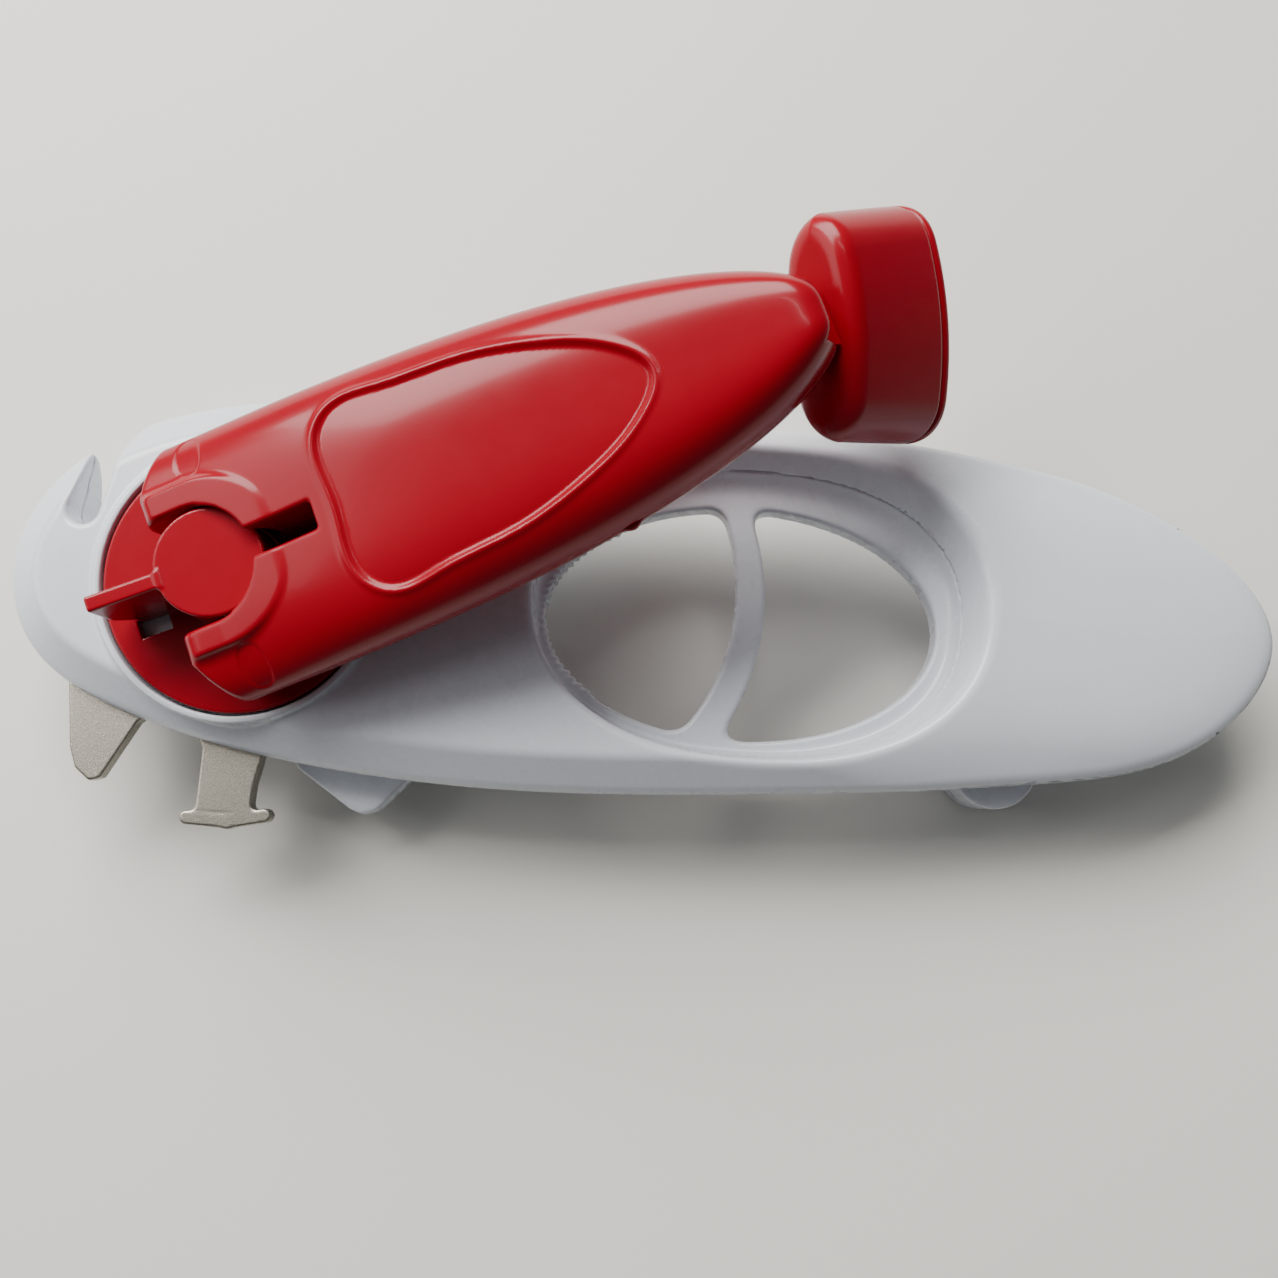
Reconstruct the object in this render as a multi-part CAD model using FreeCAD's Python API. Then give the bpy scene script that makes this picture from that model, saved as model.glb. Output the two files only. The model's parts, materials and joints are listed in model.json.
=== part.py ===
import FreeCAD
import Part
import math
import os

from FreeCAD import Placement, Rotation, Vector

# Manual can opener with a fold-over crank. Millimetres, +Z up.
# The pieces are drawn about the crank's spindle, with z = 0 on the hub disc's top face and +x along
# the handle. SPINDLE_AT then moves them to the part's own frame, whose origin is the middle of the
# part's box, on the surface that it stands on.
SPINDLE_AT = Vector(-71.3, -11.7, 27.0)

# Housing
PARTING_Z = -7.5
BODY_BOTTOM = -16.0
STAND_Z = -27.0
WALL = 2.4
# Turning points of the body's outline at the parting line, from the nose round the far side
OUTLINE = [
    (-43.4, 1.5), (-38.4, 15.8), (-21.7, 28.6), (2.0, 34.5), (45.0, 35.3), (92.0, 34.6),
    (135.4, 31.6), (168.5, 21.0), (186.1, 0.4), (174.2, -18.4), (145.8, -27.7), (101.0, -31.9),
    (51.4, -34.3), (11.8, -31.8), (-19.5, -24.7), (-39.0, -12.6),
]
# The handle's top and underside curve away beyond HANDLE_X
HANDLE_X = 118.0
HANDLE_TOP_R = 385.0
HANDLE_UNDER_R = 560.0

# Hub recess, spindle and bush
HUB_POCKET_R = 24.2
HUB_POCKET_Z = -3.2
HUB_RIM_R = 25.5
HUB_RIM_TOP = 0.45
POCKET_BASE_Z = -5.4
SPINDLE_R = 3.0
BUSH_BORE_R = 3.05
BUSH_R = 4.5
BOSS_R = 7.0

# Screw-cap gripper: a funnel through the body with a divider across its floor
RIM_CENTRE = (92.4, 3.2)
RIM_SEMI = (40.6, 29.4)
RIM_POWER = 2.3
FLOOR_CENTRE = (89.6, -0.6)
FLOOR_SEMI = (37.9, 24.8)
FLOOR_Z = -10.0
LEDGE_WIDTH = 3.0
LEDGE_THICK = 6.5
GRIP_CENTRE = (89.0, -1.4)
GRIP_SEMI = (36.0, 21.5)
DIVIDER_NEAR = (48.4, 3.5, 40.0)
DIVIDER_FAR = (48.6, 2.0, 45.0)
TOOTH_PITCH = 1.8
TOOTH_HEIGHT = 0.9

# Ring-pull notch in the nose
NOTCH_END = (-29.2, 11.2)
NOTCH_R = 2.9
NOTCH_SIDES = [
    (-32.1, 11.2), (-31.3, 22.0), (-31.3, 36.0), (-19.0, 36.0), (-21.0, 29.2), (-24.2, 24.4),
    (-27.9, 19.3), (-26.3, 11.2),
]

# Bottle wedge on the near side, guard round the cutting wheel, and hollow foot under the handle
WEDGE_Z = -20.0
WEDGE_THICK = 4.6
WEDGE = [
    (6.0, -27.0), (9.4, -32.3), (19.6, -39.6), (22.2, -40.3), (24.8, -39.5), (30.4, -33.5), (36.0, -27.0),
]
GUARD_X = 8.0
GUARD_RADII = (21.6, 24.4)
GUARD_HALF = 72
FOOT_END = (137.4, -24.4)
FOOT_LENGTH = 44.0
FOOT_WIDTH = 15.8

# Crown-cap plate
PLATE_TOP = -8.5
PLATE_THICK = 3.0

# Crank hub
CRANK_ANGLE = 23.3
DISC_R = 23.8
DISC_THICK = 2.4
POST_R = 9.2
POST_TOP = 15.7
FIN_REACH = 21.2
FIN_THICK = 2.7
FIN_FOOT = 5.6

# Crank arm, drawn along x about its hinge and then tilted and turned
HINGE_Z = 9.5
ARM_TILT = 11.0
HINGE_PIN_R = 2.0
ARM_HALF_WIDTH = 22.8
ARM_PLAN_LENGTH = 110.0
ARM_PLAN_POWER = 2.6
ARM_CROWN = 9.0
ARM_CROWN_AT = 66.0
ARM_CROWN_RISE = 2.6
ARM_DEPTH = 8.4
ARM_TIP_DEPTH = 5.8
ARM_STATION_COUNT = 14
ARM_OVERRUN = 12.0
ARM_WALL = 2.2
HUB_END_R = 9.0
HUB_PLAN_R = 38.6
HUB_PLAN_AT = 27.9
KNUCKLE_GAP = 9.6
KNUCKLE_R = 11.6
FIN_SLOT = (22.5, 3.3, 6.7)
PANEL_DEPTH = 0.9
PANEL_SIDE = [(24.4, 13.0), (26.8, 15.6), (37.0, 15.6), (52.0, 14.2), (66.0, 10.6), (76.0, 5.4)]
PANEL_ENDS_U = (24.0, 79.8)
ARM_SCREWS_U = (38.0, 82.0)

# Knob, folding at the arm's tip and spinning on its axle
FOLD_U = 101.5
FOLD_W = 1.2
NOSE_R = 7.2
KNOB_FOLD = 50.5
KNOB_SPIN = 21.0
KNOB_NEAR = 7.5
KNOB_LENGTH = 21.6
KNOB_CAP_THICK = 1.9
KNOB_NEAR_SIZE = (36.5, 14.4)
KNOB_FAR_SIZE = (40.0, 17.4)
KNOB_BULGE = 0.5
AXLE_R = 2.5
STEM_HALF = 3.5
STEM_WIDTH = 4.4

# Cutting gear, all under the body
GEAR_PLATE = 1.8
FEED_R = 6.2
FEED_GROOVES = 22
CUTTER_R = 8.0
CARRIER_PIVOT = (15.0, -13.5)
CUTTER_AT = (19.4, 0.2)
CARRIER_Z = (-20.1, -18.1)
CARRIER_SWING = 19.0
FIT = 0.06

UP = Vector(0, 0, 1)
BODY_SCREWS = [(-31.5, -2.0), (37.0, 20.0), (37.0, -20.0), (143.0, 14.0), (143.0, -13.0)]
PLATE_RIVETS = [(-10.5, 10.5), (-10.5, -10.5), (8.0, 14.5), (6.5, -16.5)]


# Shapes used throughout

def cyl(radius, z0, z1, x=0.0, y=0.0):
    return Part.makeCylinder(radius, z1 - z0, Vector(x, y, z0))


def cross_cyl(radius, half_length, x, z):
    """Cylinder along y, centred on y = 0."""
    return Part.makeCylinder(radius, 2 * half_length, Vector(x, -half_length, z), Vector(0, 1, 0))


def block(x0, x1, y0, y1, z0, z1):
    return Part.makeBox(x1 - x0, y1 - y0, z1 - z0, Vector(x0, y0, z0))


def extrude(wire, height):
    return Part.Face(wire).extrude(Vector(0, 0, height))


def closed_curve(points, z):
    curve = Part.BSplineCurve()
    curve.interpolate(Points=[Vector(x, y, z) for x, y in points], PeriodicFlag=True)
    return Part.Wire(curve.toShape())


def polygon(points, z):
    corners = [Vector(x, y, z) for x, y in points]
    return Part.makePolygon(corners + corners[:1])


def oval(centre, semi, z, power=2.0, count=24):
    """Superellipse; power 2 is an ellipse, and more is squarer."""
    points = []
    for i in range(count):
        a = 2 * math.pi * i / count
        c = math.cos(a)
        s = math.sin(a)
        x = math.copysign(abs(c) ** (2 / power), c)
        y = math.copysign(abs(s) ** (2 / power), s)
        points.append((centre[0] + semi[0] * x, centre[1] + semi[1] * y))
    return closed_curve(points, z)


def slot_prism(x, y, angle, length, width, z0, z1):
    """Round-ended slot from (x, y) along angle."""
    bar = block(0, length, -width / 2, width / 2, z0, z1)
    solid = bar.fuse([cyl(width / 2, z0, z1), cyl(width / 2, z0, z1, length)])
    solid.Placement = Placement(Vector(x, y, 0), Rotation(UP, angle))
    return solid


def sector(x, y, r0, r1, a0, a1, z0, z1):
    """Part of a ring, from angle a0 to a1 in degrees."""
    outer = Part.makeCylinder(r1, z1 - z0, Vector(0, 0, z0), UP, a1 - a0)
    ring = outer.cut(cyl(r0, z0, z1))
    ring.Placement = Placement(Vector(x, y, 0), Rotation(UP, a0))
    return ring


def joined(first, others):
    return first.fuse(others)


# Housing

def outline(inset, z):
    """The body's outline, moved in by inset."""
    moved = []
    count = len(OUTLINE)
    for i, (x, y) in enumerate(OUTLINE):
        before = OUTLINE[i - 1]
        after = OUTLINE[(i + 1) % count]
        along = Vector(after[0] - before[0], after[1] - before[1], 0).normalize()
        moved.append((x + inset * along.y, y - inset * along.x))
    return closed_curve(moved, z)


def stack(levels):
    return Part.makeLoft([outline(inset, z) for inset, z in levels], True, True)


def handle_limit(grow):
    """Everything between the handle's curved top and underside, thinner by grow all round."""
    top = cross_cyl(HANDLE_TOP_R - grow, 60, HANDLE_X, -HANDLE_TOP_R)
    under = cross_cyl(HANDLE_UNDER_R - grow, 60, HANDLE_X, BODY_BOTTOM + HANDLE_UNDER_R)
    tail = block(HANDLE_X, 200, -60, 60, -30, 10).common(top).common(under)
    return tail.fuse(block(-60, HANDLE_X, -60, 60, -30, 10))


def top_outer():
    return stack([(0, PARTING_Z), (1.3, -4.8), (6.4, -1.2), (9.6, 0)]).common(handle_limit(0))


def top_inner():
    levels = [(WALL, PARTING_Z - 1), (3.9, -6.0), (9.0, -3.4), (12.0, -WALL)]
    return stack(levels).common(handle_limit(WALL))


def bottom_outer():
    levels = [(0, PARTING_Z), (0.9, -10.5), (2.6, -13.6), (6.5, BODY_BOTTOM)]
    return stack(levels).common(handle_limit(0))


def bottom_inner():
    levels = [(WALL, PARTING_Z + 1), (3.3, -10.2), (5.0, -12.6), (8.6, BODY_BOTTOM + WALL)]
    return stack(levels).common(handle_limit(WALL))


def funnel(grow, z_low, z_high):
    """The gripper's funnel between its rim at z = 0 and its floor, wider by grow."""
    rim = oval(RIM_CENTRE, (RIM_SEMI[0] + grow, RIM_SEMI[1] + grow), 0.6, RIM_POWER)
    floor = oval(FLOOR_CENTRE, (FLOOR_SEMI[0] + grow, FLOOR_SEMI[1] + grow), FLOOR_Z, RIM_POWER)
    cone = Part.makeLoft([floor, rim], True, True)
    return cone.common(block(0, 160, -60, 60, z_low, z_high))


def notch(grow):
    """Round-ended notch that opens to the side, wider by grow."""
    sides = polygon(NOTCH_SIDES, -30)
    if grow > 0:
        sides = sides.makeOffset2D(grow)
    end = cyl(NOTCH_R + grow, -30, 5, NOTCH_END[0], NOTCH_END[1])
    return extrude(sides, 35).fuse(end)


def top_shell():
    outer = top_outer()
    shell = outer.cut(top_inner())
    adds = [cyl(HUB_POCKET_R + WALL, POCKET_BASE_Z, 0), cyl(HUB_RIM_R, -1, HUB_RIM_TOP)]
    adds.append(funnel(WALL, PARTING_Z, 0).common(outer))
    adds.append(notch(WALL).common(outer))
    for x, y in BODY_SCREWS:
        adds.append(cyl(3.2, PARTING_Z, -1.0, x, y).common(outer))
    shell = joined(shell, adds)
    cuts = [cyl(HUB_POCKET_R, HUB_POCKET_Z, 2), cyl(BUSH_R, -8, 0), funnel(0, -11, 0.6), notch(0)]
    for x, y in BODY_SCREWS:
        cuts.append(cyl(1.3, PARTING_Z - 1, -3.4, x, y))
    return shell.cut(cuts)


def gripper_teeth():
    """Small teeth round the near end of the gripper's opening."""
    teeth = []
    start = math.radians(128)
    step = TOOTH_PITCH / (0.5 * (GRIP_SEMI[0] + GRIP_SEMI[1]))
    for i in range(30):
        a = start + i * step
        x = GRIP_CENTRE[0] + GRIP_SEMI[0] * math.cos(a)
        y = GRIP_CENTRE[1] + GRIP_SEMI[1] * math.sin(a)
        normal = Vector(math.cos(a) / GRIP_SEMI[0], math.sin(a) / GRIP_SEMI[1], 0).normalize()
        side = Vector(-normal.y, normal.x, 0) * (0.45 * TOOTH_PITCH)
        root = Vector(x, y, BODY_BOTTOM) + normal * 0.8
        tip = Vector(x, y, BODY_BOTTOM) - normal * TOOTH_HEIGHT
        wire = Part.makePolygon([root + side, tip, root - side, root + side])
        teeth.append(extrude(wire, FLOOR_Z - BODY_BOTTOM))
    return teeth


def grip_openings():
    grip = extrude(oval(GRIP_CENTRE, GRIP_SEMI, -17), 17 + FLOOR_Z + 0.5)
    near_x, near_y, near_r = DIVIDER_NEAR
    far_x, far_y, far_r = DIVIDER_FAR
    near = grip.common(cyl(near_r, -20, 0, near_x, near_y))
    far = grip.cut(cyl(far_r, -20, 0, far_x, far_y))
    return [near, far]


def crown_plate_outline(grow):
    """Flat plate with a fang and a T-hook, wider by grow."""
    bar = [(-33.0, -8.0), (8.0, -17.0), (8.0, -23.5), (5.4, -27.0), (4.2, -35.5), (7.4, -38.6)]
    hook = [(7.4, -41.0), (0.0, -44.0), (-8.8, -43.8), (-9.2, -42.0), (-6.2, -39.6), (-5.4, -28.0)]
    gullet = [(-9.0, -24.5), (-16.0, -23.5), (-19.0, -27.5), (-23.6, -36.2), (-25.6, -36.9)]
    fang = [(-28.6, -33.0), (-31.4, -24.0), (-34.0, -18.0)]
    wire = polygon(bar + hook + gullet + fang, PLATE_TOP - PLATE_THICK - grow)
    if grow > 0:
        wire = wire.makeOffset2D(grow)
    return extrude(wire, PLATE_THICK + 2 * grow)


def bottom_shell():
    outer = bottom_outer()
    shell = outer.cut(bottom_inner())
    floor_ring = funnel(WALL + 1.5, PARTING_Z - 3, PARTING_Z)
    ledge_semi = (FLOOR_SEMI[0] + LEDGE_WIDTH, FLOOR_SEMI[1] + LEDGE_WIDTH)
    ledge = extrude(oval(FLOOR_CENTRE, ledge_semi, BODY_BOTTOM, RIM_POWER), LEDGE_THICK).common(outer)
    adds = [floor_ring.common(outer), ledge, notch(WALL).common(outer)]
    adds.append(cyl(BOSS_R, BODY_BOTTOM, POCKET_BASE_Z))
    for x, y in BODY_SCREWS:
        adds.append(cyl(4.2, BODY_BOTTOM + 1, PARTING_Z, x, y).common(outer))
    # Bosses that the crown-cap plate is clamped on
    for x, y in [(-24.0, -15.0), (0.0, -21.0)]:
        adds.append(cyl(3.0, BODY_BOTTOM + 1, PLATE_TOP - PLATE_THICK, x, y))
    adds.append(extrude(polygon(WEDGE, WEDGE_Z), WEDGE_THICK))
    guard_in, guard_out = GUARD_RADII
    adds.append(sector(GUARD_X, 0, guard_in, guard_out, -GUARD_HALF, GUARD_HALF, STAND_Z, BODY_BOTTOM + 1))
    foot_x, foot_y = FOOT_END
    adds.append(slot_prism(foot_x, foot_y, 90, FOOT_LENGTH, FOOT_WIDTH, STAND_Z, -13.5))
    shell = joined(shell, adds)
    cuts = [funnel(0, FLOOR_Z, 1), notch(0), crown_plate_outline(0.05)] + grip_openings()
    cuts.append(cyl(BUSH_R, -17, 0))
    foot_room = FOOT_WIDTH - 2 * WALL
    cuts.append(slot_prism(foot_x, foot_y, 90, FOOT_LENGTH, foot_room, STAND_Z - 1, BODY_BOTTOM + 0.5))
    for x, y in BODY_SCREWS:
        cuts.append(cyl(1.6, -18, -5, x, y))
        cuts.append(cyl(3.0, -18, -12.5, x, y))
    for x, y in PLATE_RIVETS:
        cuts.append(cyl(1.5, -20, -12.0, x, y))
    cuts.append(cyl(2.5, -20, -12.0, CARRIER_PIVOT[0], CARRIER_PIVOT[1]))
    return joined(shell.cut(cuts), gripper_teeth())


def body_screws():
    screws = []
    for x, y in BODY_SCREWS:
        shank = cyl(1.3, -12.5, -3.6, x, y)
        head = cyl(2.75, -14.4, -12.5, x, y)
        recess = block(x - 1.5, x + 1.5, y - 0.4, y + 0.4, -15, -13.6)
        cross = block(x - 0.4, x + 0.4, y - 1.5, y + 1.5, -15, -13.6)
        screws.append(shank.fuse(head).cut([recess, cross]))
    return screws


def spindle_bush():
    return cyl(BUSH_R, BODY_BOTTOM, HUB_POCKET_Z).cut(cyl(BUSH_BORE_R, -17, 0))


def mechanism_plate():
    far_corners = [(-13.5, 14.0), (11.0, 18.0), (12.5, 6.0), (21.0, -6.0)]
    near_corners = [(22.0, -13.5), (16.0, -19.2), (-13.5, -15.0)]
    plate = extrude(polygon(far_corners + near_corners, BODY_BOTTOM - GEAR_PLATE), GEAR_PLATE)
    edges = [e for e in plate.Edges if abs(e.tangentAt(e.FirstParameter).z) > 0.9]
    plate = plate.makeFillet(2.5, edges)
    cuts = [cyl(SPINDLE_R + 0.4, -20, 0), cyl(2.5, -20, 0, CARRIER_PIVOT[0], CARRIER_PIVOT[1])]
    for x, y in PLATE_RIVETS:
        cuts.append(cyl(1.5, -20, 0, x, y))
        cuts.append(cyl(2.4, -20, -16.9, x, y))
    return plate.cut(cuts)


def plate_rivets():
    rivets = []
    for x, y in PLATE_RIVETS:
        rivets.append(cyl(2.4, -17.8, -16.9, x, y).fuse(cyl(1.5, -16.9, -12.6, x, y)))
    return rivets


# Crank hub, turned to the crank's angle

def crank_hub():
    disc = cyl(DISC_R, -DISC_THICK, 0)
    post = cyl(POST_R, -DISC_THICK, POST_TOP)
    half = FIN_THICK / 2
    side = [(-3, 0), (-18.4, 0), (-FIN_REACH, FIN_FOOT), (-FIN_REACH, POST_TOP), (-3, POST_TOP)]
    corners = [Vector(x, -half, z) for x, z in side]
    fin = Part.Face(Part.makePolygon(corners + corners[:1])).extrude(Vector(0, FIN_THICK, 0))
    hub = joined(disc, [post, fin])
    window = block(-19.0, -13.4, -4.6, -half, -3, 1)
    pin_hole = cross_cyl(HINGE_PIN_R + FIT, 12, 0, HINGE_Z)
    socket = block(-3.5, 3.5, -3.5, 3.5, -4, 6.2)
    return hub.cut([window, pin_hole, socket])


def drive_spindle():
    square = block(-3.5, 3.5, -3.5, 3.5, -DISC_THICK, 6.2)
    shaft = cyl(SPINDLE_R, -24.3, -DISC_THICK)
    thread = cyl(2.5, -26.6, -24.3)
    return joined(square, [shaft, thread])


def thrust_washer():
    return cyl(9.5, -3.1, -DISC_THICK).cut(cyl(SPINDLE_R, -5, 0))


def friction_roller():
    return cyl(4.6, -19.9, -18.1).cut(cyl(SPINDLE_R, -21, 0))


def feed_wheel():
    wheel = cyl(FEED_R, -24.3, -20.5).cut(cyl(SPINDLE_R, -25, -19))
    grooves = []
    for i in range(FEED_GROOVES):
        a = 2 * math.pi * i / FEED_GROOVES
        grooves.append(cyl(0.55, -25.5, -19.5, FEED_R * math.cos(a), FEED_R * math.sin(a)))
    return wheel.cut(grooves)


def spindle_nut():
    corners = [(4.6 * math.cos(math.pi * i / 3), 4.6 * math.sin(math.pi * i / 3)) for i in range(6)]
    nut = extrude(polygon(corners, -26.5), 2.2)
    return nut.cut(cyl(2.5, -28, -24))


# Crank arm, along x with its hinge at the origin

def arm_stations(low, high):
    """Even stations from behind the hinge to the nose, between low and high."""
    start = -ARM_OVERRUN
    step = (FOLD_U + NOSE_R - start) / (ARM_STATION_COUNT - 1)
    every = [start + step * i for i in range(ARM_STATION_COUNT)]
    return [x for x in every if low <= x <= high]


def arm_section(x, side, inset):
    """Half of the arm's section at x: side 1 is above the hinge plane, -1 below."""
    along = max(x, 0)
    half = ARM_HALF_WIDTH * math.sqrt(1 - (along / ARM_PLAN_LENGTH) ** ARM_PLAN_POWER) - inset
    top = ARM_CROWN - ARM_CROWN_RISE * (along / ARM_CROWN_AT - 1) ** 2
    taper = min(max((x - 50.0) / 43.0, 0), 1)
    under = ARM_DEPTH - (ARM_DEPTH - ARM_TIP_DEPTH) * 0.5 * (1 - math.cos(math.pi * taper))
    rise = (top if side > 0 else under) - inset
    flank = (0.93, 0.46) if side > 0 else (0.97, 0.52)
    shoulder = (0.70, 0.89) if side > 0 else (0.80, 0.93)
    right = [(half, 0), (flank[0] * half, flank[1] * rise), (shoulder[0] * half, shoulder[1] * rise)]
    left = [(-y, z) for y, z in reversed(right)]
    points = right + [(0, rise)] + left
    curve = Part.BSplineCurve()
    curve.interpolate([Vector(x, y, side * z) for y, z in points])
    chord = Part.LineSegment(Vector(x, -half, 0), Vector(x, half, 0))
    return Part.Wire([curve.toShape(), chord.toShape()])


def arm_loft(side, inset, stations):
    return Part.makeLoft([arm_section(s, side, inset) for s in stations], True, False)


def arm_half(side):
    """One half of the arm as a full solid, with its rounded hub end and nose."""
    span = arm_loft(side, 0, arm_stations(-20, 120))
    hub_end = cross_cyl(HUB_END_R, 30, 0, 0).common(cyl(HUB_PLAN_R, -12, 12, HUB_PLAN_AT))
    behind = block(-20, 0, -30, 30, -20, 20).cut(hub_end)
    nose = block(FOLD_U, 120, -30, 30, -20, 20)
    nose = nose.cut(cross_cyl(NOSE_R, 40, FOLD_U, FOLD_W))
    return span.cut([behind, nose])


def arm_cuts():
    """Room for the post, the fin and the knob's stem."""
    length, half, depth = FIN_SLOT
    knuckle = cross_cyl(KNUCKLE_R, KNUCKLE_GAP, 0, 0)
    post_room = cyl(KNUCKLE_GAP, -13, 0)
    post_room.Placement = Placement(Vector(0, 0, 0), Rotation(Vector(0, 1, 0), ARM_TILT))
    open_end = block(-15, 0, -KNUCKLE_GAP, KNUCKLE_GAP, -12, 12)
    fin_path = cross_cyl(length, half, 0, 0).common(block(0, 30, -10, 10, -depth, 20))
    stem_half = STEM_HALF + 0.35
    stem_top = FOLD_W + stem_half
    stem_slot = block(FOLD_U - stem_half, 125, -STEM_WIDTH - 0.3, STEM_WIDTH + 0.3, -20, FOLD_W)
    stem_front = block(FOLD_U, 125, -STEM_WIDTH - 0.3, STEM_WIDTH + 0.3, -20, stem_top)
    stem_round = cross_cyl(stem_half, STEM_WIDTH + 0.3, FOLD_U, FOLD_W)
    return [knuckle, post_room, open_end, fin_path, stem_slot, stem_front, stem_round]


def arm_panel(outer):
    """Shallow recess in the arm's back, following its curve."""
    mirrored = [(x, -y) for x, y in reversed(PANEL_SIDE)]
    near_end, far_end = PANEL_ENDS_U
    prism = extrude(closed_curve(PANEL_SIDE + [(far_end, 0)] + mirrored + [(near_end, 0)], 2), 12)
    floor = arm_loft(1, PANEL_DEPTH, arm_stations(-20, 120))
    return outer.common(prism).cut(floor)


def arm_piece(side):
    outer = arm_half(side)
    hollow = arm_loft(side, ARM_WALL, arm_stations(15, 100))
    hollow = hollow.common(block(26, 91, -30, 30, -20, 20))
    columns = []
    bores = [cross_cyl(HINGE_PIN_R, 20.5, 0, 0), cross_cyl(1.5, 7.4, FOLD_U, FOLD_W)]
    for x in ARM_SCREWS_U:
        reach = 8.0 * side
        columns.append(cyl(3.4, min(0, reach), max(0, reach), x).common(outer))
        if side > 0:
            bores.append(cyl(1.3, -1, 5.0, x))
        else:
            bores.append(cyl(1.6, -10, 1, x))
            bores.append(cyl(3.0, -10, -5.0, x))
    solid = outer.cut(hollow)
    if side > 0:
        solid = solid.cut(arm_panel(outer))
    solid = joined(solid, columns)
    return solid.cut(arm_cuts() + bores)


def arm_screws():
    screws = []
    for x in ARM_SCREWS_U:
        screw = cyl(2.75, -6.6, -5.0, x).fuse(cyl(1.3, -5.0, 4.6, x))
        screws.append(screw.cut(block(x - 1.6, x + 1.6, -0.4, 0.4, -7, -6.0)))
    return screws


def arm_hinge_pin():
    return cross_cyl(HINGE_PIN_R, 20.0, 0, 0)


def knob_hinge_pin():
    return cross_cyl(1.5, 7.2, FOLD_U, FOLD_W)


# Knob and its stem, drawn along z from the fold pivot

def stadium(length, width, z):
    """Long round-ended outline with slightly bulging sides."""
    half = (length - width) / 2
    r = width / 2
    bulge = KNOB_BULGE
    right = Part.Arc(Vector(half, -r, z), Vector(half + r, 0, z), Vector(half, r, z))
    left = Part.Arc(Vector(-half, r, z), Vector(-half - r, 0, z), Vector(-half, -r, z))
    top = Part.Arc(Vector(half, r, z), Vector(0, r + bulge, z), Vector(-half, r, z))
    low = Part.Arc(Vector(-half, -r, z), Vector(0, -r - bulge, z), Vector(half, -r, z))
    return Part.Wire([right.toShape(), top.toShape(), left.toShape(), low.toShape()])


def knob_shell():
    top = KNOB_NEAR + KNOB_LENGTH
    outer = Part.makeLoft([stadium(*KNOB_NEAR_SIZE, KNOB_NEAR), stadium(*KNOB_FAR_SIZE, top)], True, True)
    near_edges = [e for e in outer.Edges if e.BoundBox.ZMax < KNOB_NEAR + 0.1]
    outer = outer.makeFillet(2.6, near_edges)
    room = [stadium(32.0, 10.2, KNOB_NEAR + 2.6), stadium(35.4, 12.8, top + 0.5)]
    hollow = Part.makeLoft(room, True, True)
    tube = cyl(4.6, KNOB_NEAR + 1, top - 6.5)
    shell = joined(outer.cut(hollow), [tube])
    return shell.cut(cyl(AXLE_R + FIT, 0, top + 1))


def knob_cap():
    low = KNOB_NEAR + KNOB_LENGTH
    plate = extrude(stadium(*KNOB_FAR_SIZE, low), KNOB_CAP_THICK)
    top_edges = [e for e in plate.Edges if e.BoundBox.ZMin > low + KNOB_CAP_THICK - 0.1]
    plate = plate.makeFillet(0.8, top_edges)
    collar = extrude(stadium(34.2, 11.6, low - 2.0), 2.2)
    collar = collar.cut(extrude(stadium(31.0, 8.6, low - 2.1), 2.1))
    return joined(plate, [collar])


def knob_swivel():
    eye = cross_cyl(STEM_HALF, STEM_WIDTH, 0, 0)
    stem = block(-STEM_HALF, STEM_HALF, -STEM_WIDTH, STEM_WIDTH, 0, KNOB_NEAR - 0.3)
    swivel = joined(eye, [stem])
    return swivel.cut([cross_cyl(1.5 + FIT, 10, 0, 0), cyl(AXLE_R - 0.5, 2.6, 20)])


def knob_axle():
    head_z = KNOB_NEAR + KNOB_LENGTH - 4.4
    shaft = cyl(AXLE_R, KNOB_NEAR - 0.3, head_z)
    return joined(shaft, [cyl(AXLE_R - 0.5, 2.6, KNOB_NEAR)])


def knob_retainer():
    low = KNOB_NEAR + KNOB_LENGTH - 6.4
    return cyl(4.8, low, low + 1.0).cut(cyl(AXLE_R + 0.15, low - 1, low + 2))


# Cutting gear

def carrier_slot(half_width, extra, z0, z1):
    """Bent slot about the carrier's pivot, where the spindle passes as the carrier swings."""
    px, py = CARRIER_PIVOT
    reach = math.hypot(px, py)
    end = math.degrees(math.atan2(-py, -px))
    start = end - CARRIER_SWING
    band = sector(px, py, reach - half_width, reach + half_width, start - extra, end + extra, z0, z1)
    ends = []
    for angle in (start - extra, end + extra):
        a = math.radians(angle)
        ends.append(cyl(half_width, z0, z1, px + reach * math.cos(a), py + reach * math.sin(a)))
    return joined(band, ends)


def cutter_carrier():
    px, py = CARRIER_PIVOT
    cx, cy = CUTTER_AT
    z0, z1 = CARRIER_Z
    lobe = carrier_slot(7.6, 0, z0, z1)
    eye = cyl(5.2, z0, z1, px, py)
    seat = cyl(5.0, z0, z1, cx, cy)
    corners = [(px - 4.5, py - 2), (px + 5, py), (cx + 4.6, cy), (cx - 3, cy + 4.4), (1, 9)]
    web = extrude(polygon(corners, z0), z1 - z0)
    carrier = joined(lobe, [eye, seat, web])
    bores = [cyl(2.5 + FIT, -22, -16, px, py), cyl(2.0, -22, -16, cx, cy)]
    return carrier.cut(bores + [carrier_slot(4.95, 0.5, -22, -16)])


def carrier_pivot():
    px, py = CARRIER_PIVOT
    pin = cyl(2.5, -20.4, -12.6, px, py)
    return joined(pin, [cyl(4.0, -21.8, -20.4, px, py)])


def cutter_screw():
    cx, cy = CUTTER_AT
    shaft = cyl(2.0, -24.2, -18.1, cx, cy)
    head = cyl(3.6, -25.6, -24.2, cx, cy)
    return joined(shaft, [head]).cut(block(cx - 4, cx + 4, cy - 0.5, cy + 0.5, -26, -25.0))


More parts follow.
